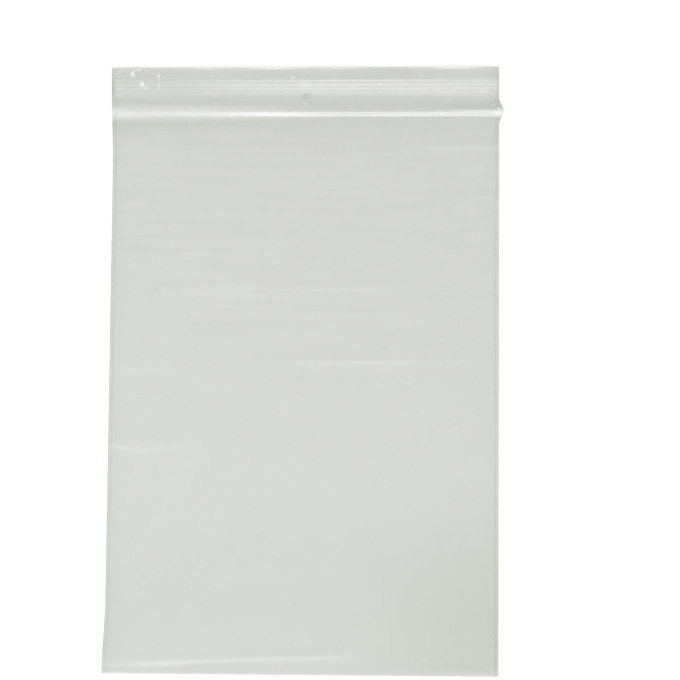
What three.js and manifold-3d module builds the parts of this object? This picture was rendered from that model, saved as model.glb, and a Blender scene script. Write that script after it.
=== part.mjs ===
// A flat press-to-close zipper bag of clear polyethylene film, lying empty and closed on a table.
// The bag is one piece: a web of film folded at the foot and welded along both sides, with the zip's
// rib, its hooked channel and two guide ribs extruded on the inside of the walls below the mouth.
// Millimetres. +X runs across the bag, +Y towards the mouth, +Z up from the table.
import * as THREE from "three";
import { mergeVertices } from "three/addons/utils/BufferGeometryUtils.js";
import Module from "manifold-3d";

// The cut of the bag, whose sides spread a little towards the foot. Lengths run from the zip's
// centre line.
const BAG_WIDTH = 200;
const FOOT_SPREAD = 2.5;
const POCKET_LENGTH = 300;
const LIP_LENGTH = 10;
const FILM_THICKNESS = 0.05;

// The side welds, where both walls are fused and end in a thicker bead.
const WELD_WIDTH = 1.2;
const BEAD_WIDTH = 0.4;
const BEAD_THICKNESS = 0.24;
const SEAM_GAP = 0.12;

// The zip. The rib hangs from the front wall and snaps into the channel on the back wall.
const WEB_WIDTH = 8.4;
const WEB_THICKNESS = 0.12;
const WEB_TAPER = 0.6;
const RIB_STEM_WIDTH = 0.4;
const RIB_HEAD_WIDTH = 1.3;
const RIB_TIP_WIDTH = 0.5;
const RIB_HEAD_HEIGHT = 0.42;
const JAW_THICKNESS = 0.3;
const HOOK_HEIGHT = 0.28;
const LOCK_CLEARANCE = 0.12;
const GUIDE_RIB_SPACING = 6.2;
const GUIDE_RIB_WIDTH = 0.7;
const GUIDE_RIB_HEIGHT = 0.5;
const CRUSH_LENGTH = 4;
const CRUSHED_SHARE = 0.4;

// Low ridges on the front of the zip band, over each rib and jaw.
const RIDGE_WIDTH = 1.2;
const RIDGE_HEIGHT = 0.12;

// The lips, which stand slightly apart at the mouth in a shallow wave.
const LIP_FLARE = 0.5;
const LIP_WAVE = 0.5;
const LIP_WAVE_LENGTH = 62;
const BACK_LIP_LIFT = 0.2;

// The crease that runs across both walls below the zip, left by the rollers that flattened the film.
// It rises from the zip's side and falls more steeply into the pocket.
const CREASE_AT = 12.4;
const CREASE_RISE = 6.4;
const CREASE_FALL = 4.2;
const CREASE_LIFT = 0.8;
const CREASE_GAP = 0.75;
const CREASE_END_LIFT = 0.9;
const CREASE_END_REACH = 14;

// The air left in the pocket, which fades out towards the seams, the foot and the zip.
const AIR_GAP = 0.9;
const AIR_FADE = 28;
const FOOT_GAP = 0.3;

// Faint wrinkles across the film: distance below the zip, middle and half-length across the bag,
// reach along the bag, and height.
const WRINKLES = [
  { below: 31, middle: 78, half: 34, reach: 2.6, height: 0.4 },
  { below: 49, middle: 20, half: 70, reach: 3, height: 0.3 },
  { below: 103, middle: 0, half: 98, reach: 3, height: 0.36 },
  { below: 116, middle: 36, half: 56, reach: 2.8, height: 0.36 },
  { below: 140, middle: 24, half: 56, reach: 2.8, height: 0.4 },
  { below: 184, middle: -78, half: 26, reach: 3, height: 0.42 },
  { below: 291, middle: -31, half: 64, reach: 4, height: 0.3 },
];

// How finely the film is faceted.
const BODY_STEP = 22;
const COLUMN_STEP = 14;
const MOUTH_OVERRUN = 2;
const CLOSEST_STATIONS = 0.35;
const WELD_COLUMNS = 2;

// The zip's section follows from the rib and one clearance all round it.
const channelHalf = RIB_HEAD_WIDTH / 2 + LOCK_CLEARANCE;
const jawHalf = channelHalf + JAW_THICKNESS;
const hookGapHalf = RIB_STEM_WIDTH / 2 + LOCK_CLEARANCE;
const headShoulder = LOCK_CLEARANCE + RIB_HEAD_HEIGHT;
const hookUnderside = headShoulder + LOCK_CLEARANCE;
const hookTop = hookUnderside + HOOK_HEIGHT;
const zipGap = hookTop + LOCK_CLEARANCE;
const webHalf = WEB_WIDTH / 2;
const foldRadius = FOOT_GAP / 2 + FILM_THICKNESS;
const bagLength = LIP_LENGTH + POCKET_LENGTH + foldRadius;
const zipY = bagLength / 2 - LIP_LENGTH;

const ramp = (value, from, to) => THREE.MathUtils.smoothstep(value, from, to);

// A rounded hump, 1 at the middle and 0 from its reach outwards.
function hump(distance, reach) {
  const share = Math.min(Math.abs(distance) / reach, 1);
  return Math.cos((share * Math.PI) / 2) ** 2;
}

function halfWidthAt(below) {
  const share = (below + LIP_LENGTH) / bagLength;
  return (BAG_WIDTH + THREE.MathUtils.lerp(-FOOT_SPREAD, FOOT_SPREAD, share)) / 2;
}

// Distance from a point to the inner line of the nearer side weld.
function insideWeld(x, below) {
  return Math.max(halfWidthAt(below) - WELD_WIDTH - Math.abs(x), 0);
}

function wallThickness(below) {
  const share = 1 - ramp(Math.abs(below), webHalf, webHalf + WEB_TAPER);
  return FILM_THICKNESS + (WEB_THICKNESS - FILM_THICKNESS) * share;
}

function wrinkleLift(x, below) {
  return WRINKLES.reduce((sum, w) => {
    const across = hump(x - w.middle, w.half);
    return sum + w.height * across * hump(below - w.below, w.reach);
  }, 0);
}

function creaseShare(below) {
  const off = below - CREASE_AT;
  return hump(off, off < 0 ? CREASE_RISE : CREASE_FALL);
}

// Height of the back wall's outer face above the table.
function backHeight(x, below) {
  const corner = halfWidthAt(below) - x;
  const endLift = CREASE_END_LIFT * hump(corner, CREASE_END_REACH);
  const crease = (CREASE_LIFT + endLift) * creaseShare(below);
  const lip = BACK_LIP_LIFT * ramp(-below, webHalf + WEB_TAPER, LIP_LENGTH);
  return crease + lip + wrinkleLift(x, below);
}

// The zip is squeezed flatter over a short length beside each side weld.
function crushAt(x, below) {
  const open = ramp(insideWeld(x, below), 0, CRUSH_LENGTH);
  return CRUSHED_SHARE + (1 - CRUSHED_SHARE) * open;
}

// Free height between the inner faces of the two walls.
function gapAt(x, below) {
  const inside = insideWeld(x, below);
  const nearSeam = ramp(inside, 0, CRUSH_LENGTH);
  const fromSeam = ramp(inside, 0, AIR_FADE);
  const zipShare = 1 - ramp(Math.abs(below), webHalf, webHalf + LIP_LENGTH / 2);
  const wave = 1 + LIP_WAVE * Math.sin((2 * Math.PI * x) / LIP_WAVE_LENGTH);
  const flare = LIP_FLARE * wave * nearSeam * ramp(-below, webHalf, LIP_LENGTH);
  const crease = CREASE_GAP * nearSeam * creaseShare(below);
  const belowCrease = ramp(below, CREASE_AT, CREASE_AT + AIR_FADE);
  const aboveFoot = 1 - ramp(below, POCKET_LENGTH - AIR_FADE, POCKET_LENGTH);
  const air = AIR_GAP * fromSeam * belowCrease * aboveFoot;
  const footShare = ramp(below, POCKET_LENGTH - AIR_FADE, POCKET_LENGTH);
  const resting = THREE.MathUtils.lerp(SEAM_GAP, FOOT_GAP, footShare);
  const closed = THREE.MathUtils.lerp(resting, zipGap * crushAt(x, below), zipShare);
  return closed + flare + crease + air;
}

const innerBack = (x, below) => backHeight(x, below) + wallThickness(below);
const innerFront = (x, below) => innerBack(x, below) + gapAt(x, below);
const frontHeight = (x, below) => innerFront(x, below) + wallThickness(below);

// Distances below the zip at which both walls have a row of points.
function stations() {
  const lip = [-LIP_LENGTH, -(LIP_LENGTH + webHalf + WEB_TAPER) / 2];
  const web = [webHalf + WEB_TAPER, webHalf];
  const crease = [-1, -0.66, -0.33, 0, 0.33, 0.66, 1].map(
    (share) => CREASE_AT + share * (share < 0 ? CREASE_RISE : CREASE_FALL),
  );
  const wrinkles = WRINKLES.flatMap((w) =>
    [-1, -0.5, 0, 0.5, 1].map((share) => w.below + share * w.reach),
  );
  const body = [];
  for (let at = CREASE_AT + CREASE_FALL; at < POCKET_LENGTH; at += BODY_STEP) body.push(at);
  const all = [...lip, ...web, ...web.map((at) => -at), ...crease, ...wrinkles, ...body];
  const kept = [];
  for (const at of all.sort((a, b) => a - b)) {
    const clear = kept.length === 0 || at - kept.at(-1) > CLOSEST_STATIONS;
    if (clear && at < POCKET_LENGTH - CLOSEST_STATIONS) kept.push(at);
  }
  return [...kept, POCKET_LENGTH];
}

// Places across the bag as shares of its half-width, closer together beside the welds.
function columns() {
  const mouthHalf = halfWidthAt(-LIP_LENGTH);
  const share = (fromEdge) => 1 - fromEdge / mouthHalf;
  const weld = [0, BEAD_WIDTH, WELD_WIDTH];
  const beside = [CRUSH_LENGTH / 2, CRUSH_LENGTH].map((mm) => WELD_WIDTH + mm);
  const right = [...weld, ...beside].map(share);
  const reach = right.at(-1);
  const count = Math.round((2 * reach * mouthHalf) / COLUMN_STEP);
  const middle = Array.from({ length: count - 1 }, (_, i) => reach * ((2 * (i + 1)) / count - 1));
  return [...right.map((u) => -u), ...middle, ...right.reverse()];
}

// A section is a chain of points along each wall from the mouth to the foot, a few points round the
// foot between them, and the pairs of points where the two chains face each other.
const outline = ({ back, fold, front }) => [...back, ...fold, ...[...front].reverse()];

// A chain along one wall: the rows above the zip, the zip's profile on that wall, the rows below it.
// A profile gives distances from the zip's centre line, and heights above the wall's face.
function chain(rows, profile, u, heightOf) {
  const plain = rows.map((below) => [below, 0]);
  const above = plain.filter(([below]) => below < 0);
  return [...above, ...profile, ...plain.slice(above.length)].map(([below, height]) => {
    const x = u * halfWidthAt(below);
    return { below, x, z: heightOf(x, below) + height * crushAt(x, below) };
  });
}

// The pairs of row points once each wall's profile stands between its rows.
function pairsOf(rows, backProfile, frontProfile) {
  return rows.map((below, i) => {
    const past = below < 0 ? 0 : 1;
    return [i + past * backProfile.length, i + past * frontProfile.length];
  });
}

// The zip's profiles, each drawn for its left half and mirrored.
const mirrored = (points) => [...points, ...points.map(([s, h]) => [-s, h]).reverse()];
const moved = (points, along) => points.map(([s, h]) => [s + along, h]);
const hanging = (points) => points.map(([s, h]) => [s, -h]);
const CHANNEL = mirrored([
  [-jawHalf, 0],
  [-jawHalf, hookUnderside],
  [-channelHalf, hookTop],
  [-hookGapHalf, hookTop - HOOK_HEIGHT / 4],
  [-hookGapHalf, hookUnderside + HOOK_HEIGHT / 4],
  [-channelHalf, hookUnderside],
  [-channelHalf, 0],
]);
const LOCKING_RIB = mirrored([
  [-RIB_STEM_WIDTH / 2, 0],
  [-RIB_STEM_WIDTH / 2, zipGap - headShoulder],
  [-RIB_HEAD_WIDTH / 2, zipGap - headShoulder + RIB_HEAD_HEIGHT / 4],
  [-RIB_TIP_WIDTH / 2, zipGap - LOCK_CLEARANCE],
]);
const GUIDE_RIB = mirrored([
  [-GUIDE_RIB_WIDTH / 2, 0],
  [-GUIDE_RIB_WIDTH / 4, GUIDE_RIB_HEIGHT],
]);
const RIBS = hanging([
  ...moved(GUIDE_RIB, -GUIDE_RIB_SPACING / 2),
  ...LOCKING_RIB,
  ...moved(GUIDE_RIB, GUIDE_RIB_SPACING / 2),
]);
const RIDGE = [
  [-RIDGE_WIDTH / 2, 0],
  [0, RIDGE_HEIGHT],
  [RIDGE_WIDTH / 2, 0],
];
const RIDGES = mirrored([
  ...moved(RIDGE, -GUIDE_RIB_SPACING / 2),
  ...moved(RIDGE, -(channelHalf + jawHalf) / 2),
]);

// The bag's outer section at one column. In the welds both walls are fused: the film is its own
// double thickness there, more where the zip was melted in, and swells into a bead at the edge.
function outerSection(u, column, all) {
  const fused = Math.min(column, all.length - 1 - column) < WELD_COLUMNS;
  const bead = column === 0 || column === all.length - 1;
  const fusedHeight = (x, below) => {
    const melted = Math.max(bead ? BEAD_THICKNESS : 0, 2 * wallThickness(below));
    return backHeight(x, below) + melted;
  };
  const rows = stations();
  const back = chain(rows, [], u, backHeight);
  const front = chain(rows, RIDGES, u, fused ? fusedHeight : frontHeight);
  const { below, x, z } = back.at(-1);
  const radius = (front.at(-1).z - z) / 2;
  const fold = [-45, 0, 45].map(THREE.MathUtils.degToRad).map((turn) => ({
    below: below + radius * Math.cos(turn),
    x,
    z: z + radius * (1 + Math.sin(turn)),
  }));
  return { back, fold, front, pairs: pairsOf(rows, [], RIDGES) };
}

// The hollow's section at one column: the back wall's inner face with the channel standing on it,
// round the foot, and the front wall's inner face with the ribs hanging from it.
function hollowSection(u) {
  const rows = [-LIP_LENGTH - MOUTH_OVERRUN, ...stations().slice(1)];
  const back = chain(rows, CHANNEL, u, innerBack);
  const front = chain(rows, RIBS, u, innerFront);
  const { below, x, z } = back.at(-1);
  const half = (front.at(-1).z - z) / 2;
  const fold = [{ below: below + half, x, z: z + half }];
  return { back, fold, front, pairs: pairsOf(rows, CHANNEL, RIBS) };
}

// Triangles that close a section, made piece by piece between neighbouring pairs, as corner numbers
// of its outline in the outline's own order.
function capTriangles(section) {
  const { back, fold, front, pairs } = section;
  const points = outline(section).map(({ below, z }) => new THREE.Vector2(-below, z));
  const facing = (i) => points.length - 1 - i;
  const run = (from, to) => Array.from({ length: to - from + 1 }, (_, i) => from + i);
  const pieces = pairs.slice(1).map(([b, f], i) => {
    const [lastB, lastF] = pairs[i];
    return [...run(lastB, b), ...run(lastF, f).map(facing).reverse()];
  });
  pieces.push(run(back.length - 1, back.length + fold.length));
  const order = Math.sign(THREE.ShapeUtils.area(points));
  return pieces.flatMap((piece) => {
    const corners = piece.map((i) => points[i]);
    return THREE.ShapeUtils.triangulateShape(corners, []).map((triangle) => {
      const turn = Math.sign(THREE.ShapeUtils.area(triangle.map((i) => corners[i])));
      const corner = triangle.map((i) => piece[i]);
      return turn === order ? corner : corner.reverse();
    });
  });
}

// Skins a row of sections whose outlines have equal length, and closes both ends.
function loft(sections) {
  const outlines = sections.map(outline);
  const count = outlines[0].length;
  const end = (outlines.length - 1) * count;
  const index = [];
  for (let s = 0; s + 1 < outlines.length; s++) {
    for (let i = 0; i < count; i++) {
      const a = s * count + i;
      const b = s * count + ((i + 1) % count);
      index.push(a, a + count, b + count, a, b + count, b);
    }
  }
  for (const corner of capTriangles(sections[0])) index.push(...corner);
  for (const [a, b, c] of capTriangles(sections.at(-1))) index.push(end + c, end + b, end + a);
  const positions = outlines.flat().flatMap(({ x, below, z }) => [x, zipY - below, z]);
  const geometry = new THREE.BufferGeometry();
  geometry.setAttribute("position", new THREE.Float32BufferAttribute(positions, 3));
  geometry.setIndex(index);
  return geometry;
}

const wasm = await Module();
wasm.setup();

function toSolid(geometry) {
  const merged = mergeVertices(geometry, 1e-4);
  const mesh = new wasm.Mesh({
    numProp: 3,
    vertProperties: merged.attributes.position.array,
    triVerts: new Uint32Array(merged.index.array),
  });
  return new wasm.Manifold(mesh);
}

function toGeometry(solid) {
  const mesh = solid.getMesh();
  const geometry = new THREE.BufferGeometry();
  geometry.setAttribute("position", new THREE.Float32BufferAttribute(mesh.vertProperties, 3));
  geometry.setIndex(new THREE.Uint32BufferAttribute(mesh.triVerts, 1));
  geometry.computeVertexNormals();
  return geometry;
}

// The bag is its outer form less the hollow, which stops at the welds and runs out of the mouth.
function bagGeometry() {
  const outer = toSolid(loft(columns().map(outerSection)));
  const hollow = toSolid(loft(columns().slice(WELD_COLUMNS, -WELD_COLUMNS).map(hollowSection)));
  return toGeometry(outer.subtract(hollow));
}

const film = new THREE.MeshStandardMaterial({
  color: 0xd6d9d3,
  roughness: 0.28,
  metalness: 0,
  transparent: true,
  opacity: 0.5,
  side: THREE.DoubleSide,
});

const bag = new THREE.Mesh(bagGeometry(), film);
bag.name = "bag";

const zipperBag = new THREE.Group();
zipperBag.add(bag);

export default zipperBag;
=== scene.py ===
"""A flat press-to-close bag of clear film, seen from above on a pale floor.

The film is one closed shell: a web folded at the foot, welded along both sides, with the zip's rib,
channel and guide ribs on its inside. A point of the film is given by x, across the bag, and by its
distance below the zip's centre line.
"""
import math
from collections import namedtuple

import bpy
import numpy as np
from bpy.props import FloatProperty, FloatVectorProperty, PointerProperty
from mathutils import Matrix, Vector


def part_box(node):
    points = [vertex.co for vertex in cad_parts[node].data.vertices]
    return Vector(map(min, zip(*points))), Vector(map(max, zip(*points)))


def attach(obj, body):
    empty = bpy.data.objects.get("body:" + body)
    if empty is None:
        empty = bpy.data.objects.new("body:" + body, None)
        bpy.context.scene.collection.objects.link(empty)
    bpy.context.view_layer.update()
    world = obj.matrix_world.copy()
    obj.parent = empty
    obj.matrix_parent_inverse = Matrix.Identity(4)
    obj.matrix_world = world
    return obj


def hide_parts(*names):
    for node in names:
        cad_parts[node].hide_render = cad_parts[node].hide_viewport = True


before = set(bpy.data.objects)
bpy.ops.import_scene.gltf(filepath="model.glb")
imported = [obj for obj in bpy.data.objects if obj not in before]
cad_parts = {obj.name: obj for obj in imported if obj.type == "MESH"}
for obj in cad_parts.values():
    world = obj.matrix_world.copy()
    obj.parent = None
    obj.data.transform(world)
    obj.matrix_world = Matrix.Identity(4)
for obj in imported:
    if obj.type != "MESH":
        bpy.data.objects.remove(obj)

bl_info = {
    "name": "Zipper bag",
    "version": (1, 0, 0),
    "blender": (4, 5, 0),
    "location": "3D View > Sidebar > Bag",
    "description": "Builds a flat press-to-close bag of clear film and the stage it lies on",
    "category": "Add Mesh",
}

MM = 0.001
BAG_LOW, BAG_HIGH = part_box("bag")
BAG_LENGTH = BAG_HIGH.y - BAG_LOW.y

# The web of film at the zip: how far the band reaches each way, and how fast it thins out.
WEB_HALF = 4.2 * MM
WEB_TAPER = 0.6 * MM
WEB_THICKNESS = 0.12 * MM
ZIP_REACH = WEB_HALF + WEB_TAPER

# The zip's section, which follows from the rib and one clearance round it.
LOCK_CLEARANCE = 0.12 * MM
RIB_STEM_HALF = 0.2 * MM
RIB_HEAD_HALF = 0.65 * MM
RIB_TIP_HALF = 0.25 * MM
RIB_HEAD_HEIGHT = 0.42 * MM
JAW_THICKNESS = 0.3 * MM
HOOK_HEIGHT = 0.28 * MM
GUIDE_RIB_AT = 3.1 * MM
GUIDE_RIB_HALF = 0.35 * MM
GUIDE_RIB_HEIGHT = 0.5 * MM
CHANNEL_HALF = RIB_HEAD_HALF + LOCK_CLEARANCE
JAW_HALF = CHANNEL_HALF + JAW_THICKNESS
HOOK_GAP_HALF = RIB_STEM_HALF + LOCK_CLEARANCE
HEAD_SHOULDER = LOCK_CLEARANCE + RIB_HEAD_HEIGHT
HOOK_UNDERSIDE = HEAD_SHOULDER + LOCK_CLEARANCE
HOOK_TOP = HOOK_UNDERSIDE + HOOK_HEIGHT
ZIP_GAP = HOOK_TOP + LOCK_CLEARANCE
JAW_MIDDLE = (CHANNEL_HALF + JAW_HALF) / 2

# The four low ridges that the zip's ribs and jaws raise on the front: place and share of the height.
# They are plainest just right of the middle, and highlights are painted along them, strongest there too.
# The film over the zip is painted whiter in a band, a highlight that starts left of the middle and grows
# at the right end. The band's edges fade between two distances from the centre line, and the film is
# hazier in another.
ZIP_RIDGES = ((-GUIDE_RIB_AT, 1), (-JAW_MIDDLE, 1), (JAW_MIDDLE, 0.8), (GUIDE_RIB_AT, 0.6))
RIDGE_HALF = 0.8 * MM
RIDGES_PLAINEST_AT = 22 * MM
RIDGES_REACH = 76 * MM
RIDGES_LEAST = 0.25
ZIP_BAND = (3.4 * MM, 5.6 * MM)
ZIP_HAZE = (1.5 * MM, 5.5 * MM)

# The side welds: the fused strip, the round bead at its edge, and the puckers beside it.
WELD_WIDTH = 1.2 * MM
BEAD_WIDTH = 0.4 * MM
BEAD_THICKNESS = 0.24 * MM
CRUSH_LENGTH = 4 * MM
PUCKER_PITCH = 13 * MM
PUCKER_SWELL = 71 * MM
PUCKER_REACH = 5 * MM
PUCKER_START = (20 * MM, 40 * MM)
WELD_DARKER = 0.14
WELD_HAZIER = 0.6

# The crease below the zip. Towards the left it lies nearer the zip and falls more softly, and at the
# right it pushes the side out.
CREASE_RISE = 7.4 * MM
CREASE_TOP = 2.4 * MM
CREASE_FALL = 2.9 * MM
CREASE_SOFT_FALL = 3.2 * MM
CREASE_SHIFT = 1.8 * MM
CREASE_GAP = 0.75 * MM
CREASE_BULGE = 2 * MM
CREASE_BULGE_REACH = 7 * MM
CREASE_LEFT_LIFT = 0.25 * MM
CREASE_LEFT_REACH = 10 * MM
CREASE_RIGHT_LIFT = 0.9 * MM
CREASE_RIGHT_REACH = 14 * MM
CREASE_LEFT_PART = (-60 * MM, 20 * MM)
CREASE_LOWER_LEFT = 0.12

# The lips above the zip, and the left side's waist.
LIP_LIFT = 0.2 * MM
LIP_WAVE = 62 * MM
CURL_WIDTH = 1.3 * MM
WAIST_START = (-10 * MM, 45 * MM)
WAIST_END = (262 * MM, 300 * MM)

# The pocket: the gap where the walls rest on each other, and how the air and its ripples spread.
RESTING_GAP = 0.12 * MM
RESTING_REACH = 1 * MM
ZIP_TO_POCKET = 7 * MM
AIR_REACH = 28 * MM
AIR_START = 13 * MM
FOOT_REACH = 28 * MM
RIPPLE_COUNT = 14
RIPPLE_SEED = 5
RIPPLE_HEIGHT = 0.14 * MM
RIPPLE_LENGTH = 110 * MM

# How the points are spread: rows along each wall, points round the foot, columns across.
LIP_ROWS = 16
ZIP_ROWS = 37
CREASE_ROWS = 40
CREASE_ROWS_END = 24 * MM
POCKET_ROWS = 130
FOLD_POINTS = 5
MIDDLE_COLUMNS = 84
WELD_COLUMNS = (0, 0.06, 0.2, 0.34, 0.45, 0.8, 1.2, 1.5, 2, 2.7, 3.6, 4.6)
SPREAD_STEPS = 4000
MERGE_DISTANCE = 0.001 * MM
FLAT_ANGLE = math.radians(40)

# Wrinkles across the film: distance below the zip, middle and half-length across the bag, reach along
# it, height, and how far they fall per length across. Millimetres.
Wrinkle = namedtuple("Wrinkle", "below middle half reach height fall")
WRINKLES = (
    Wrinkle(31, 78, 34, 1.8, 0.34, 0),
    Wrinkle(32.6, -82, 26, 1.4, 0.2, 0),
    Wrinkle(49, 20, 60, 1.8, 0.26, 0.01),
    Wrinkle(102.6, -4, 74, 1.4, 0.32, 0.006),
    Wrinkle(105.4, -30, 48, 1.3, 0.25, 0.01),
    Wrinkle(112, -38, 42, 1.3, 0.3, 0),
    Wrinkle(116.3, 34, 36, 1.4, 0.32, 0.008),
    Wrinkle(129.5, -32, 32, 1.3, 0.28, 0),
    Wrinkle(140, 24, 52, 1.4, 0.32, -0.008),
    Wrinkle(142.8, -80, 24, 1.4, 0.28, 0),
    Wrinkle(184, -90, 17, 2.1, 0.28, 0.08),
    Wrinkle(183.4, -67, 17, 2.1, 0.25, -0.12),
    Wrinkle(214, 58, 40, 2.4, 0.1, 0.02),
    Wrinkle(246, -14, 50, 2.4, 0.1, -0.02),
    Wrinkle(291.4, -31, 76, 3, 0.2, -0.035),
    Wrinkle(294.3, -84, 34, 3.2, 0.13, -0.03),
    Wrinkle(297.3, 88, 28, 2.2, 0.12, 0),
)

# Small dents, pinches and pale streaks, which have no height: place across and below the zip, reach each
# way, height, and how much lighter the colour is painted there, darker where below zero. Millimetres, apart
# from that last share. The lip's flecks are whitened crumples with glints painted on them; the rest is
# painted light.
Dent = namedtuple("Dent", "x below across along height milk")
DENTS = (
    # A pale patch and whitened crumples on the lip, with glints painted on them, and one near the middle.
    Dent(-92, -8, 9, 5, 0, 0.22),
    Dent(-88, -6.8, 2.4, 3, 0.12, 1.35),
    Dent(-85, -8.8, 4.2, 1.4, 0.08, 1.1),
    Dent(-83, -1.4, 2, 2.3, 0.12, 1.1),
    Dent(-81.2, 0.5, 2.1, 2, 0.05, 0.6),
    Dent(-74.6, -5.6, 1.6, 3, 0.12, 1.3),
    Dent(-74.4, -1.6, 0.9, 3.4, 0.05, 0.5),
    Dent(-6.3, -4.9, 2.6, 1.8, 0.1, 0.9),
    # A pinch across the zip: painted shade in its dent, between painted highlights.
    Dent(0.2, -1.4, 4.6, 3.4, 0.05, 0.3),
    Dent(0.3, 4.8, 4, 2.1, -0.12, -0.5),
    Dent(0.2, 8.6, 3, 3.6, 0.03, 0.8),
    # Painted highlights along the crease's crest, and the lighter band above it at the right.
    Dent(-30, 14.3, 60, 2.4, 0, 0.4),
    Dent(90, 12.5, 42, 1.6, 0, 1),
    Dent(60, 14.4, 110, 1.5, 0, 0.85),
    # Painted highlights on the pucker at the crease's right end.
    Dent(96.2, 9.8, 3, 1.3, 0.14, 0.9),
    Dent(98.8, 11.2, 2.2, 1.9, 0.14, 1),
    Dent(98.2, 13.7, 4.4, 1.5, 0.14, 0.9),
)

# Stretches of the lip that curl up at the very edge: middle, half-length and height. Millimetres.
LipCurl = namedtuple("LipCurl", "middle half height")
LIP_CURLS = (
    LipCurl(-50, 14, 0.55),
    LipCurl(-16, 34, 0.65),
    LipCurl(20, 26, 0.5),
    LipCurl(76, 34, 0.6),
)


def length(name, description, default, precision=2):
    """A length that can be set in the panel."""
    return FloatProperty(
        name=name, description=description, default=default, precision=precision, unit="LENGTH"
    )


class BagSettings(bpy.types.PropertyGroup):
    """The bag's cut, its lie and its finish."""

    mouth_width: length("Mouth width", "Width of the bag at its mouth", 197.5 * MM)
    foot_width: length("Foot width", "Width of the bag at its foot", 202.5 * MM)
    waist: length("Waist", "How far the left side draws in between mouth and foot", 1.4 * MM)
    lip_length: length("Lip length", "Length of the lips above the zip", 10 * MM)
    slant: length("Slant", "How far each end of the zip stands off square", 1.2 * MM)
    film: length("Film thickness", "Thickness of one wall", 0.05 * MM, 5)
    foot_gap: length("Foot gap", "Free height inside the fold at the foot", 0.3 * MM, 4)
    ridge: length("Zip ridges", "Height of the ridges over the zip's ribs", 0.12 * MM, 5)
    crease_at: length("Crease place", "Distance of the crease below the zip", 12.6 * MM)
    crease_lift: length("Crease height", "Height of the crease in the back wall", 0.8 * MM, 4)
    air: length("Air", "Height of the air left in the pocket", 0.9 * MM, 4)
    flare: length("Lip flare", "How far the lips stand apart at the mouth", 0.5 * MM, 4)
    pucker: length("Side pucker", "Height of the puckers along the side welds", 0.3 * MM, 4)
    colour: FloatVectorProperty(
        name="Film colour",
        description="Colour of the milky film",
        default=(0.55, 0.57, 0.51),
        size=3,
        min=0,
        max=1,
        subtype="COLOR",
    )
    haze: FloatProperty(
        name="Haze", description="Share of light that one face scatters", default=0.12, min=0, max=1
    )
    gloss: FloatProperty(
        name="Gloss", description="Share of light that one face mirrors head on", default=0.04, min=0
    )


class StageSettings(bpy.types.PropertyGroup):
    """The floor, the lamps and the camera."""

    floor_colour: FloatVectorProperty(
        name="Floor colour",
        description="Colour of the floor",
        default=(0.93, 0.93, 0.93),
        size=3,
        min=0,
        max=1,
        subtype="COLOR",
    )
    key_power: FloatProperty(
        name="Key power", description="Power of the lamp past the foot", default=20, unit="POWER"
    )
    side_power: FloatProperty(
        name="Side power", description="Power of the lamp on the left", default=6, unit="POWER"
    )
    fill_power: FloatProperty(
        name="Fill power", description="Power of the lamp past the mouth", default=3, unit="POWER"
    )
    sky: FloatProperty(name="Sky", description="Strength of the light all round", default=0.62)
    height: length("Camera height", "Height of the lens above the floor", 963.5 * MM)
    roll: FloatProperty(
        name="Roll",
        description="Turn of the picture against the bag",
        default=math.radians(0.54),
        subtype="ANGLE",
    )


# The stage, in metres: the floor just below the film, and each lamp's place and size.
FLOOR_SIZE = 1.6
FLOOR_DROP = 0.1 * MM
FLOOR_GLOW = 0.14
KEY_LAMP = ((0.05, -1.5, 1.5), (1.6, 1.0))
SIDE_LAMP = ((-1.5, -0.3, 1.2), (0.8, 0.8))
FILL_LAMP = ((-0.2, 1.6, 1.6), (1.6, 1.0))
CAMERA_ACROSS = 18.9 * MM
CAMERA_ALONG = 16.2 * MM
FOCAL_LENGTH = 100
SENSOR_WIDTH = 36
CLIP_NEAR = 0.05
CLIP_FAR = 20
SEE_THROUGH_BOUNCES = 32


# Shapes of the film


def smooth(value, start, end):
    """0 before start, 1 past end and an even curve between."""
    share = np.clip((value - start) / (end - start), 0, 1)
    return share * share * (3 - 2 * share)


def hump(distance, reach):
    """A rounded hump, 1 at the middle and 0 from its reach outwards."""
    return np.cos(np.minimum(np.abs(distance) / reach, 1) * math.pi / 2) ** 2


def spread(start, end, count, density):
    """Places from start to end, closer together where the density is high."""
    fine = np.linspace(start, end, SPREAD_STEPS)
    weight = density(fine)
    total = np.concatenate(([0], np.cumsum((weight[1:] + weight[:-1]) / 2)))
    return np.interp(np.linspace(0, total[-1], count), total, fine)


def refined(corners, count):
    """An open outline with points added halfway along its longest stretches until it has count."""
    points = [np.array(corner, dtype=float) for corner in corners]
    while len(points) < count:
        steps = [np.linalg.norm(b - a) for a, b in zip(points, points[1:])]
        longest = int(np.argmax(steps))
        points.insert(longest + 1, (points[longest] + points[longest + 1]) / 2)
    return np.array(points)


def mirrored(half):
    """A profile and its mirror image past the zip's centre line."""
    return list(half) + [(-s, h) for s, h in reversed(half)]


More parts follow.
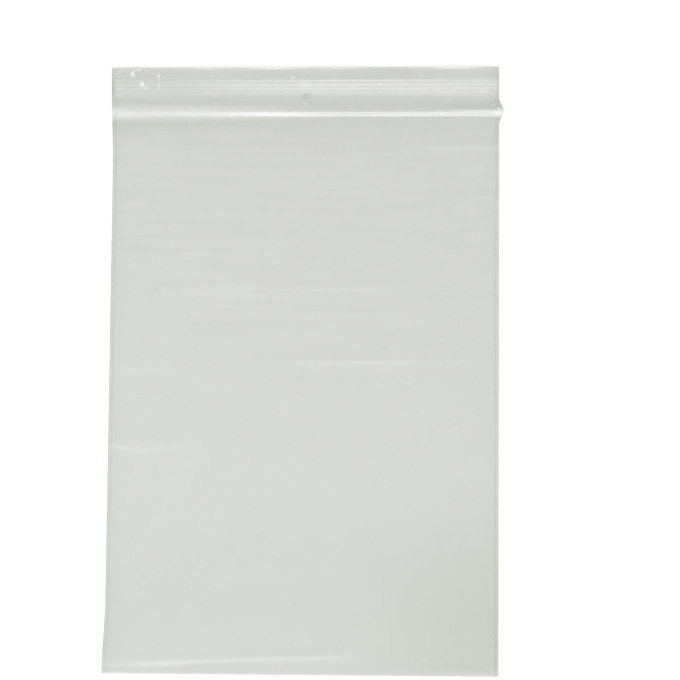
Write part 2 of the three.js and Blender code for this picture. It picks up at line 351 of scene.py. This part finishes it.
CHANNEL = mirrored(
    (
        (-ZIP_REACH, 0),
        (-JAW_HALF, 0),
        (-JAW_HALF, HOOK_UNDERSIDE),
        (-CHANNEL_HALF, HOOK_TOP),
        (-HOOK_GAP_HALF, HOOK_TOP - HOOK_HEIGHT / 4),
        (-HOOK_GAP_HALF, HOOK_UNDERSIDE + HOOK_HEIGHT / 4),
        (-CHANNEL_HALF, HOOK_UNDERSIDE),
        (-CHANNEL_HALF, 0),
    )
)
RIBS = mirrored(
    (
        (-ZIP_REACH, 0),
        (-GUIDE_RIB_AT - GUIDE_RIB_HALF, 0),
        (-GUIDE_RIB_AT - GUIDE_RIB_HALF / 2, GUIDE_RIB_HEIGHT),
        (-GUIDE_RIB_AT + GUIDE_RIB_HALF / 2, GUIDE_RIB_HEIGHT),
        (-GUIDE_RIB_AT + GUIDE_RIB_HALF, 0),
        (-RIB_STEM_HALF, 0),
        (-RIB_STEM_HALF, ZIP_GAP - HEAD_SHOULDER),
        (-RIB_HEAD_HALF, ZIP_GAP - HEAD_SHOULDER + RIB_HEAD_HEIGHT / 4),
        (-RIB_TIP_HALF, ZIP_GAP - LOCK_CLEARANCE),
    )
)


class Film:
    """Where the film lies. Every method takes arrays of x and of the distance below the zip."""

    def __init__(self, settings):
        self.s = settings
        fold_radius = settings.foot_gap / 2 + settings.film
        self.pocket = BAG_LENGTH - settings.lip_length - fold_radius
        self.zip_y = BAG_HIGH.y - settings.lip_length

    def half_width(self, below):
        share = (below + self.s.lip_length) / BAG_LENGTH
        return (self.s.mouth_width + (self.s.foot_width - self.s.mouth_width) * share) / 2

    def left(self, below):
        """The left side's edge, which draws in between mouth and foot."""
        drawn_in = smooth(below, *WAIST_START) * (1 - smooth(below, *WAIST_END))
        return -self.half_width(below) + self.s.waist * drawn_in

    def right(self, below):
        """The right side's edge, which the crease's end pushes out."""
        bulge = CREASE_BULGE * hump(below - self.s.crease_at, CREASE_BULGE_REACH)
        return self.half_width(below) + bulge

    def inside(self, x, below):
        """Distance in from the nearer side edge."""
        return np.minimum(x - self.left(below), self.right(below) - x)

    def wall(self, below):
        """Thickness of one wall, more in the zip's web."""
        thick = 1 - smooth(np.abs(below), WEB_HALF, ZIP_REACH)
        return self.s.film + (WEB_THICKNESS - self.s.film) * thick

    def y(self, x, below):
        """Place along the bag, with the zip's run a little off square."""
        turn = self.s.slant * (1 - below / self.pocket) * x / (self.s.mouth_width / 2)
        return self.zip_y - below + turn * smooth(-below, -self.pocket, 0)

    @staticmethod
    def towards_left(x):
        """1 in the crease's soft left part, fading out past the middle."""
        return 1 - smooth(x, *CREASE_LEFT_PART)

    def crease(self, x, below):
        """The crease's section: a long rise from the zip, and a steeper fall that is softer at the left."""
        soft = self.towards_left(x)
        off = below - self.s.crease_at + CREASE_SHIFT * soft
        rise = 0.5 * hump(off, CREASE_RISE) + 0.5 * hump(off, CREASE_TOP)
        fall = hump(off, CREASE_FALL + CREASE_SOFT_FALL * soft)
        return (1 - CREASE_LOWER_LEFT * soft) * np.where(off < 0, rise, fall)

    @staticmethod
    def wrinkles(x, below):
        """The faint straight wrinkles that run across both walls."""
        lift = np.zeros_like(x)
        for w in WRINKLES:
            off = below - (w.below * MM + w.fall * (x - w.middle * MM))
            across = 1 - smooth(np.abs(x - w.middle * MM), w.half * MM / 2, w.half * MM)
            lift += w.height * MM * across * hump(off, w.reach * MM)
        return lift

    @staticmethod
    def ripples(x, below):
        """Long faint waves that run across the bag, a sum of sines from a fixed seed."""
        random = np.random.default_rng(RIPPLE_SEED)
        total = np.zeros_like(x)
        for _ in range(RIPPLE_COUNT):
            along = 2 * math.pi / (RIPPLE_LENGTH * random.uniform(0.4, 1))
            across = 2 * math.pi / (RIPPLE_LENGTH * random.uniform(2, 9))
            turn = random.uniform(0, 2 * math.pi)
            total += np.sin(along * below + across * x * random.choice((-1, 1)) + turn)
        return RIPPLE_HEIGHT * total / math.sqrt(RIPPLE_COUNT)

    def puckers(self, x, below):
        """Short waves along the side welds, which shrank as they cooled."""
        wave = np.sin(2 * math.pi * below / PUCKER_PITCH + np.where(x < 0, 0, 1.9))
        uneven = 0.6 + 0.4 * np.sin(2 * math.pi * below / PUCKER_SWELL + 1.2)
        fade = np.exp(-self.inside(x, below) / PUCKER_REACH) * smooth(below, *PUCKER_START)
        return self.s.pucker * (1 + wave * uneven) / 2 * fade

    def back(self, x, below):
        """Height of the back wall's outer face above the table."""
        right_end = CREASE_RIGHT_LIFT * hump(self.right(below) - x, CREASE_RIGHT_REACH)
        left_end = CREASE_LEFT_LIFT * hump(x - self.left(below), CREASE_LEFT_REACH)
        crease = (self.s.crease_lift + right_end + left_end) * self.crease(x, below)
        lip = LIP_LIFT * smooth(-below, ZIP_REACH, self.s.lip_length)
        return crease + lip + self.wrinkles(x, below) + self.puckers(x, below)

    def open_share(self, x, below):
        """0 at the weld's inner line, where the walls meet, and 1 from the crush length inwards."""
        return smooth(self.inside(x, below) - WELD_WIDTH, 0, CRUSH_LENGTH)

    def gap(self, x, below):
        """Free height between the walls' inner faces."""
        away = self.inside(x, below) - WELD_WIDTH
        open_share = self.open_share(x, below)
        zip_share = 1 - smooth(np.abs(below), WEB_HALF, WEB_HALF + ZIP_TO_POCKET)
        foot_share = smooth(below, self.pocket - FOOT_REACH, self.pocket)
        air_share = smooth(away, 0, AIR_REACH) * smooth(below, AIR_START, AIR_START + AIR_REACH)
        air = (self.s.air + self.ripples(x, below)) * air_share
        wave = 1 + 0.5 * np.sin(2 * math.pi * x / LIP_WAVE)
        flare = self.s.flare * wave * open_share * smooth(-below, WEB_HALF, self.s.lip_length)
        crease = CREASE_GAP * open_share * self.crease(x, below)
        at_rest = RESTING_GAP + (self.s.foot_gap - RESTING_GAP) * foot_share
        resting = at_rest * smooth(away, 0, RESTING_REACH)
        closed = resting + (ZIP_GAP * open_share - resting) * zip_share
        return closed + crease + air * (1 - foot_share) + flare

    def ridges(self, x, below):
        """Ridges on the front over the guide ribs and jaws."""
        return self.s.ridge * self.zip_lines(x, below) * self.open_share(x, below)

    @staticmethod
    def at_dent(dent, x, below):
        """1 at a dent's middle and 0 outside it."""
        across = (x - dent.x * MM) / (dent.across * MM)
        along = (below - dent.below * MM) / (dent.along * MM)
        return hump(np.hypot(across, along), 1)

    def dents(self, x, below):
        lift = np.zeros_like(x)
        for dent in DENTS:
            lift += dent.height * MM * self.at_dent(dent, x, below)
        return lift * self.open_share(x, below)

    def curls(self, x, below):
        """The front lip's edge, which curls up along a few stretches."""
        edge = smooth(-below, self.s.lip_length - CURL_WIDTH, self.s.lip_length)
        tall = sum(c.height * MM * hump(x - c.middle * MM, c.half * MM) for c in LIP_CURLS)
        return tall * edge * self.open_share(x, below)

    def front_rise(self, x, below):
        """What the front wall has on top of the back wall and the gap."""
        return self.ridges(x, below) + self.dents(x, below) + self.curls(x, below)

    @staticmethod
    def zip_lines(x, below):
        """1 over the zip's ribs and jaws: four lines, plainest just right of the middle."""
        lines = sum(share * hump(below - at, RIDGE_HALF) for at, share in ZIP_RIDGES)
        plain = hump(x - RIDGES_PLAINEST_AT, RIDGES_REACH)
        return lines * (RIDGES_LEAST + (1 - RIDGES_LEAST) * plain)

    @staticmethod
    def over_zip(below):
        """1 over the zip, fading out past its guide ribs."""
        return 1 - smooth(np.abs(below), *ZIP_HAZE)

    def fused(self, x, below):
        """1 in the side welds and 2 in their beads."""
        edge = self.inside(x, below)
        bead = 1 - smooth(edge, 0.2 * MM, 1.1 * MM)
        return bead + 1 - smooth(edge, 1 * MM, 2.2 * MM)

    def milk(self, x, below):
        """How much the front wall's colour is painted lighter, and darker where below zero: painted
        highlights over the zip, round the crease, at the foot and on folds, painted shade round the crease,
        and at dents whitened film with painted glints.
        """
        band = 1 - smooth(np.abs(below), *ZIP_BAND)
        # Painted highlight over the zip: a band lighter right of the middle and at the right end, and its
        # four lines.
        past_left = 0.2 * smooth(x, -70 * MM, -30 * MM)
        right_end = 0.12 * smooth(x, 30 * MM, 75 * MM)
        over_zip = (past_left + right_end) * band + 0.75 * self.zip_lines(x, below)
        # Painted highlight along the fold at the foot.
        foot = 0.5 * smooth(below, self.pocket - 1.6 * MM, self.pocket)
        # Painted shade above the crease, and at the left a painted highlight just below its crest with
        # painted shade further down.
        above_crease = -0.3 * hump(below - 8.2 * MM, 4.2 * MM)
        glow = 0.9 * hump(below - self.s.crease_at - 0.5 * MM, 5.5 * MM)
        below_crease = -0.3 * hump(below - 19 * MM, 5 * MM)
        left_crease = self.towards_left(x) * (glow + below_crease)
        # Painted highlights along the wrinkles and the lip's curls.
        folds = (self.wrinkles(x, below) + 0.8 * self.curls(x, below)) / MM
        dents = sum(dent.milk * self.at_dent(dent, x, below) for dent in DENTS)
        return over_zip + foot + above_crease + left_crease + folds + dents

    def haze(self, x, below):
        """How much the front wall scatters: more towards the zip, the foot and its right corner. The extra
        towards the foot and its right corner is painted shade, which darkens the film there, and the extra
        at the zip's lines and the dents goes with the painted highlights there.
        """
        top = 1 - smooth(below, 12 * MM, 40 * MM)
        # Painted shade: darker towards the foot, most at its right corner.
        foot = smooth(below, 190 * MM, 280 * MM)
        corner = 0.6 + smooth(x, 10 * MM, 98 * MM)
        side = 0.8 * np.exp(-self.inside(x, below) / (3 * MM))
        dents = sum(abs(dent.milk) * self.at_dent(dent, x, below) for dent in DENTS)
        zip_band = 1.6 * self.over_zip(below) + 1.5 * self.zip_lines(x, below)
        return 1 + 0.6 * top + foot * corner + side + zip_band + 2.4 * dents


def row_places(film):
    """Distances below the zip at which each wall has a row of points."""
    lip = np.linspace(-film.s.lip_length, -ZIP_REACH, LIP_ROWS)[:-1]
    band = np.linspace(-ZIP_REACH, ZIP_REACH, ZIP_ROWS)
    crease = np.linspace(ZIP_REACH, CREASE_ROWS_END, CREASE_ROWS)[1:]

    def density(at):
        near = sum(hump(at - w.below * MM, 1.5 * w.reach * MM) for w in WRINKLES)
        return 1 + 6 * np.minimum(near, 1) + 5 * hump(at - film.pocket, 3 * MM)

    pocket = spread(CREASE_ROWS_END, film.pocket, POCKET_ROWS, density)[1:]
    return np.concatenate((lip, band, crease, pocket))


def column_places(film):
    """Columns as a share of the width and an offset from that place."""
    weld = np.array(WELD_COLUMNS) * MM
    start = (weld[-1] + 0.8 * MM) / film.s.mouth_width

    def density(share):
        x = (share - 0.5) * film.s.mouth_width
        near = sum(hump(x - dent.x * MM, 4 * MM) for dent in DENTS if dent.across < 5)
        sides = hump(share, 0.08) + hump(1 - share, 0.08)
        return 1 + 3 * np.minimum(near, 1) + 0.6 * sides

    middle = spread(start, 1 - start, MIDDLE_COLUMNS, density)
    share = np.concatenate((np.zeros(len(weld)), middle, np.ones(len(weld))))
    offset = np.concatenate((weld, np.zeros(len(middle)), -weld[::-1]))
    return share, offset


def with_profile(rows, profile):
    """Rows of a wall whose zip band follows a profile: distances below the zip, and heights."""
    band = np.abs(rows) <= ZIP_REACH + MERGE_DISTANCE
    below, height = rows.copy(), np.zeros_like(rows)
    points = refined(profile, int(band.sum()))
    below[band], height[band] = points[:, 0], points[:, 1]
    return below, height


def fold(film, bottom, top):
    """The round fold at the foot, from one height to the other."""
    turns = np.linspace(-90, 90, FOLD_POINTS + 2)[1:-1, None] * math.pi / 180
    reach = (top - bottom) / 2
    return film.pocket + reach * np.cos(turns), bottom + reach * (1 + np.sin(turns))


def film_looks(film, row_count, x, below):
    """Whiteness and haze of every point, with the painted highlights and painted shade that they carry.
    Only the front wall is milky, and the zip's inner faces are clear.
    """
    front_start = row_count + FOLD_POINTS
    front_end = front_start + row_count
    front = np.zeros((len(below), 1))
    front[front_start:front_end] = 1
    inside = np.zeros((len(below), 1))
    inside[front_end:-1] = 1
    fused = film.fused(x, below) * (1 - inside)
    milk = film.milk(x, below) * front - WELD_DARKER * fused
    clear_zip = inside * film.over_zip(below)
    haze = 1 + (film.haze(x, below) - 1) * front + WELD_HAZIER * fused - clear_zip
    return milk, haze


def closed_section(film, rows, share, offset):
    """Points of the shell, ring by ring round its section and column by column across the bag."""

    def across(below):
        left, right = film.left(below), film.right(below)
        return left + (right - left) * share[None, :] + offset[None, :]

    plain = np.repeat(rows[:, None], len(share), axis=1)
    x = across(plain)
    edge = film.inside(x, plain)
    low = film.back(x, plain)
    height = 2 * film.wall(plain) + film.gap(x, plain) + film.front_rise(x, plain)
    radius = BEAD_WIDTH / 2
    arc = np.sqrt(np.clip(1 - ((edge - radius) / radius) ** 2, 0, 1)) * BEAD_THICKNESS / 2
    at_rim = edge < radius
    low = np.where(at_rim, low + BEAD_THICKNESS / 2 - arc, low)
    height = np.where(at_rim, 2 * arc, np.maximum(2 * arc, height))
    high = low + height
    middle = low + height / 2

    def skin(profile, hanging):
        chain, rise = with_profile(rows, profile)
        share_open = film.open_share(x, plain)
        below = plain + (chain[:, None] - plain) * share_open
        face = film.back(x, below) + film.wall(below)
        if hanging:
            loose = film.dents(x, below) + film.curls(x, below)
            z = face + film.gap(x, below) - rise[:, None] * share_open + loose
        else:
            z = face + rise[:, None] * share_open
        fused = edge < WELD_WIDTH - MERGE_DISTANCE
        return below, np.where(fused, middle, z)

    back_below, back_z = skin(CHANNEL, hanging=False)
    front_below, front_z = skin(RIBS, hanging=True)

    outer_fold = fold(film, low[-1], high[-1])
    inner_fold = fold(film, back_z[-1], front_z[-1])
    below = np.concatenate(
        (
            plain,
            outer_fold[0],
            plain[::-1],
            front_below,
            inner_fold[0][::-1],
            back_below[::-1],
            plain[:1],
        )
    )
    z = np.concatenate(
        (low, outer_fold[1], high[::-1], front_z, inner_fold[1][::-1], back_z[::-1], low[:1])
    )
    fold_x = np.repeat(x[-1:], FOLD_POINTS, axis=0)
    x_all = np.concatenate((x, fold_x, x[::-1], x, fold_x, x[::-1], x[:1]))
    milk, haze = film_looks(film, len(rows), x_all, below)
    return np.stack((x_all, film.y(x_all, below), z), axis=-1), milk, haze


def activate(piece):
    """Makes one object the only selected one."""
    bpy.ops.object.select_all(action="DESELECT")
    piece.select_set(True)
    bpy.context.view_layer.objects.active = piece


def flat_grid(name, rings, columns):
    """A flat grid, and the ring and column that each of its points stands for."""
    bpy.ops.object.select_all(action="DESELECT")
    bpy.ops.mesh.primitive_grid_add(x_subdivisions=columns - 1, y_subdivisions=rings - 1, size=1)
    grid = bpy.context.object
    grid.name = grid.data.name = name
    flat = np.empty(len(grid.data.vertices) * 3)
    grid.data.vertices.foreach_get("co", flat)
    flat = flat.reshape(-1, 3)
    ring = np.rint((flat[:, 1] + 0.5) * (rings - 1)).astype(int)
    column = np.rint((flat[:, 0] + 0.5) * (columns - 1)).astype(int)
    return grid, ring, column


def faces_in_welds(mesh, row_count, ring, column):
    """Marks the inner faces inside the welds, where there is no hollow."""
    corners = np.empty(len(mesh.polygons) * 4, dtype=int)
    mesh.polygons.foreach_get("vertices", corners)
    corners = corners.reshape(-1, 4)
    first_ring = ring[corners].min(axis=1)
    first_column = column[corners].min(axis=1)
    fused = int(np.searchsorted(np.array(WELD_COLUMNS) * MM, WELD_WIDTH - MERGE_DISTANCE))
    lip_ring = 2 * row_count + FOLD_POINTS - 1
    inner = (first_ring > lip_ring) & (first_ring < ring.max() - 1)
    return inner & ((first_column < fused) | (first_column >= column.max() - fused))


def seal(bag, doomed):
    """Deletes the marked faces and merges the film's meeting edges."""
    activate(bag)
    bpy.ops.object.mode_set(mode="EDIT")
    bpy.ops.mesh.select_all(action="DESELECT")
    bpy.ops.object.mode_set(mode="OBJECT")
    bag.data.polygons.foreach_set("select", doomed)
    bpy.ops.object.mode_set(mode="EDIT")
    bpy.ops.mesh.select_mode(type="FACE")
    bpy.ops.mesh.delete(type="FACE")
    bpy.ops.mesh.select_all(action="SELECT")
    bpy.ops.mesh.remove_doubles(threshold=MERGE_DISTANCE)
    bpy.ops.mesh.normals_make_consistent(inside=False)
    bpy.ops.object.mode_set(mode="OBJECT")
    bpy.ops.object.shade_smooth_by_angle(angle=FLAT_ANGLE)


def film_shell(settings):
    """The whole bag as one closed mesh: a flat grid, rolled round the section and sealed."""
    film = Film(settings)
    rows = row_places(film)
    share, offset = column_places(film)
    points, milk, haze = closed_section(film, rows, share, offset)
    bag, ring, column = flat_grid("bag_film", *points.shape[:2])
    mesh = bag.data
    mesh.vertices.foreach_set("co", points[ring, column].ravel())
    for name, values in (("milk", milk), ("haze", haze)):
        layer = mesh.attributes.new(name, "FLOAT", "POINT")
        layer.data.foreach_set("value", values[ring, column].ravel())
    seal(bag, faces_in_welds(mesh, len(rows), ring, column))
    return bag


# Materials

WHITE = (1, 1, 1, 1)
# The colour towards which whitened film and painted highlights go.
PALE_FILM_AND_HIGHLIGHT = (0.95, 0.96, 0.94, 1)
STREAK_STRETCH = (15, 300, 15)
STREAK_HEIGHT = 0.08 * MM
STREAK_SHARE = 0.22
FILM_ROUGHNESS = 0.45
GLOSS_ROUGHNESS = 0.26


class Value:
    """A shader socket that can stand in sums, which add their Math nodes."""

    def __init__(self, tree, socket):
        self.tree = tree
        self.socket = socket

    def maths(self, operation, *others, clamp=False):
        settings = {"operation": operation, "use_clamp": clamp}
        inputs = dict(enumerate((self, *others)))
        return self.tree.add("ShaderNodeMath", settings, inputs)

    def __add__(self, other):
        return self.maths("ADD", other)

    def __sub__(self, other):
        return self.maths("SUBTRACT", other)

    def __rsub__(self, other):
        return self.tree.add("ShaderNodeMath", {"operation": "SUBTRACT"}, {0: other, 1: self})

    def __mul__(self, other):
        return self.maths("MULTIPLY", other)

    def __pow__(self, other):
        return self.maths("POWER", other)

    def clamped(self):
        return self.maths("ADD", 0.0, clamp=True)

    __radd__ = __add__
    __rmul__ = __mul__


class ShaderTree:
    """A material or world's nodes, added by type, settings and sockets."""

    def __init__(self, owner):
        owner.use_nodes = True
        self.tree = owner.node_tree
        self.tree.nodes.clear()

    def add(self, kind, settings=None, inputs=None, output=0):
        node = self.tree.nodes.new(kind)
        for name, value in (settings or {}).items():
            setattr(node, name, value)
        for name, value in (inputs or {}).items():
            if isinstance(value, Value):
                self.tree.links.new(value.socket, node.inputs[name])
            else:
                node.inputs[name].default_value = value
        return Value(self, node.outputs[output])

    def finish(self, kind, surface):
        node = self.tree.nodes.new(kind)
        self.tree.links.new(surface.socket, node.inputs["Surface"])


def film_streaks(tree):
    """Faint streaks across the film, round zero, that fade out towards the foot."""
    place = tree.add("ShaderNodeTexCoord", output="Object")
    upwards = tree.add("ShaderNodeSeparateXYZ", inputs={"Vector": place}, output="Y")
    stretched = tree.add("ShaderNodeMapping", inputs={"Vector": place, "Scale": STREAK_STRETCH})
    inputs = {"Vector": stretched, "Scale": 1.0, "Detail": 2, "Roughness": 0.55}
    noise = tree.add("ShaderNodeTexNoise", inputs=inputs) - 0.5
    return noise * (0.55 + 5 * upwards).clamped()


def film_material(settings):
    """Clear film with a faint milkiness: mostly see-through, a little scattering, and a soft gloss."""
    material = bpy.data.materials.new("clear_film")
    tree = ShaderTree(material)
    streaks = film_streaks(tree)
    # The first attribute paints highlights and shade into the base colour, and whitens the film at dents;
    # the second adds scattering, which also paints shade towards the foot's right corner.
    milk = tree.add("ShaderNodeAttribute", {"attribute_name": "milk"}, output="Fac")
    density = tree.add("ShaderNodeAttribute", {"attribute_name": "haze"}, output="Fac")
    facing = tree.add("ShaderNodeLayerWeight", inputs={"Blend": 0.5}, output="Facing")
    near = density.maths("MINIMUM", 1.0)
    haze = settings.haze * ((1 + STREAK_SHARE * streaks) * density + 2 * near * facing**2)
    bump = tree.add(
        "ShaderNodeBump",
        inputs={"Strength": 1.0, "Distance": STREAK_HEIGHT, "Height": streaks},
        output="Normal",
    )
    shade = tree.add(
        "ShaderNodeMix",
        {"data_type": "RGBA", "clamp_factor": False},
        {0: milk, 6: (*settings.colour, 1), 7: PALE_FILM_AND_HIGHLIGHT},
        output=2,
    )
    milky = tree.add(
        "ShaderNodeBsdfPrincipled",
        inputs={"Base Color": shade, "Roughness": FILM_ROUGHNESS, "IOR": 1.5, "Normal": bump},
    )
    clear = tree.add("ShaderNodeBsdfTransparent", inputs={"Color": WHITE})
    body = tree.add("ShaderNodeMixShader", inputs={0: haze, 1: clear, 2: milky})
    mirror = near * (settings.gloss + (1 - settings.gloss) * facing**5)
    gloss = tree.add(
        "ShaderNodeBsdfAnisotropic",
        inputs={"Color": WHITE, "Roughness": GLOSS_ROUGHNESS, "Normal": bump},
    )
    film = tree.add("ShaderNodeMixShader", inputs={0: mirror, 1: body, 2: gloss})
    tree.finish("ShaderNodeOutputMaterial", film)
    return material


def seen_directly(tree):
    """1 where the camera sees a surface, straight on or mirrored in the film, and 0 for other light."""
    seen = tree.add("ShaderNodeLightPath", output="Is Camera Ray")
    for other in ("Is Glossy Ray", "Is Transmission Ray"):
        seen = seen + tree.add("ShaderNodeLightPath", output=other)
    return seen.clamped()


def floor_material(settings):
    """A pale floor that reads as white to the camera and keeps the bag's shadow."""
    material = bpy.data.materials.new("pale_floor")
    tree = ShaderTree(material)
    paint = tree.add(
        "ShaderNodeBsdfPrincipled",
        inputs={
            "Base Color": (*settings.floor_colour, 1),
            "Roughness": 0.9,
            "Emission Color": WHITE,
            "Emission Strength": FLOOR_GLOW * seen_directly(tree),
        },
    )
    tree.finish("ShaderNodeOutputMaterial", paint)
    return material


def studio_world(settings):
    """An even pale sky, white where the camera or a reflection sees it."""
    world = bpy.data.worlds.new("studio")
    tree = ShaderTree(world)
    strength = settings.sky + (1 - settings.sky) * seen_directly(tree)
    sky = tree.add("ShaderNodeBackground", inputs={"Color": WHITE, "Strength": strength})
    tree.finish("ShaderNodeOutputWorld", sky)
    return world


# Steps


class BAG_OT_film(bpy.types.Operator):
    """Builds the bag's film, folded, welded and zipped, with its clear finish"""

    bl_idname = "bag.film"
    bl_label = "Build the bag"

    def execute(self, context):
        settings = context.scene.bag_settings
        bag = film_shell(settings)
        bag.data.materials.append(film_material(settings))
        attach(bag, "root")
        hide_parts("bag")
        return {"FINISHED"}


def softbox(name, place, size, power):
    """A rectangular area lamp aimed at the bag's middle."""
    light = bpy.data.lights.new(name, "AREA")
    light.shape = "RECTANGLE"
    light.size, light.size_y = size
    light.energy = power
    lamp = bpy.data.objects.new(name, light)
    bpy.context.collection.objects.link(lamp)
    aim = (-Vector(place)).to_track_quat("-Z", "Y").to_matrix().to_4x4()
    lamp.matrix_world = Matrix.Translation(place) @ aim


def camera_above(settings):
    """A camera that looks straight down, a little turned."""
    lens = bpy.data.cameras.new("camera")
    lens.lens = FOCAL_LENGTH
    lens.sensor_width = SENSOR_WIDTH
    lens.clip_start = CLIP_NEAR
    lens.clip_end = CLIP_FAR
    camera = bpy.data.objects.new("camera", lens)
    bpy.context.collection.objects.link(camera)
    place = Matrix.Translation((CAMERA_ACROSS, CAMERA_ALONG, settings.height))
    camera.matrix_world = place @ Matrix.Rotation(settings.roll, 4, "Z")
    return camera


class BAG_OT_stage(bpy.types.Operator):
    """Lays the floor, hangs the lamps and sets the camera straight above the bag"""

    bl_idname = "bag.stage"
    bl_label = "Set the stage"

    def execute(self, context):
        settings = context.scene.bag_stage
        bpy.ops.object.select_all(action="DESELECT")
        bpy.ops.mesh.primitive_plane_add(size=FLOOR_SIZE, location=(0, 0, -FLOOR_DROP))
        floor = context.object
        floor.name = floor.data.name = "floor"
        bpy.ops.object.transform_apply(location=True, rotation=False, scale=False)
        floor.data.materials.append(floor_material(settings))

        softbox("key", *KEY_LAMP, settings.key_power)
        softbox("side", *SIDE_LAMP, settings.side_power)
        softbox("fill", *FILL_LAMP, settings.fill_power)
        context.scene.world = studio_world(settings)
        context.scene.camera = camera_above(settings)
        context.scene.view_settings.view_transform = "Standard"
        context.scene.cycles.transparent_max_bounces = SEE_THROUGH_BOUNCES
        return {"FINISHED"}


class BAG_PT_panel(bpy.types.Panel):
    """Lists the bag's sizes and its build steps"""

    bl_label = "Zipper bag"
    bl_space_type = "VIEW_3D"
    bl_region_type = "UI"
    bl_category = "Bag"

    def draw(self, context):
        for settings in (context.scene.bag_settings, context.scene.bag_stage):
            for name in settings.bl_rna.properties.keys():
                if name not in ("name", "rna_type"):
                    self.layout.prop(settings, name)
        self.layout.operator("bag.film")
        self.layout.operator("bag.stage")


CLASSES = (BagSettings, StageSettings, BAG_OT_film, BAG_OT_stage, BAG_PT_panel)


def register():
    for cls in CLASSES:
        bpy.utils.register_class(cls)
    bpy.types.Scene.bag_settings = PointerProperty(type=BagSettings)
    bpy.types.Scene.bag_stage = PointerProperty(type=StageSettings)


def unregister():
    del bpy.types.Scene.bag_stage
    del bpy.types.Scene.bag_settings
    for cls in reversed(CLASSES):
        bpy.utils.unregister_class(cls)


def main():
    register()
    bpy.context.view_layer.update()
    bpy.ops.bag.film()
    bpy.ops.bag.stage()


if __name__ == "__main__":
    main()
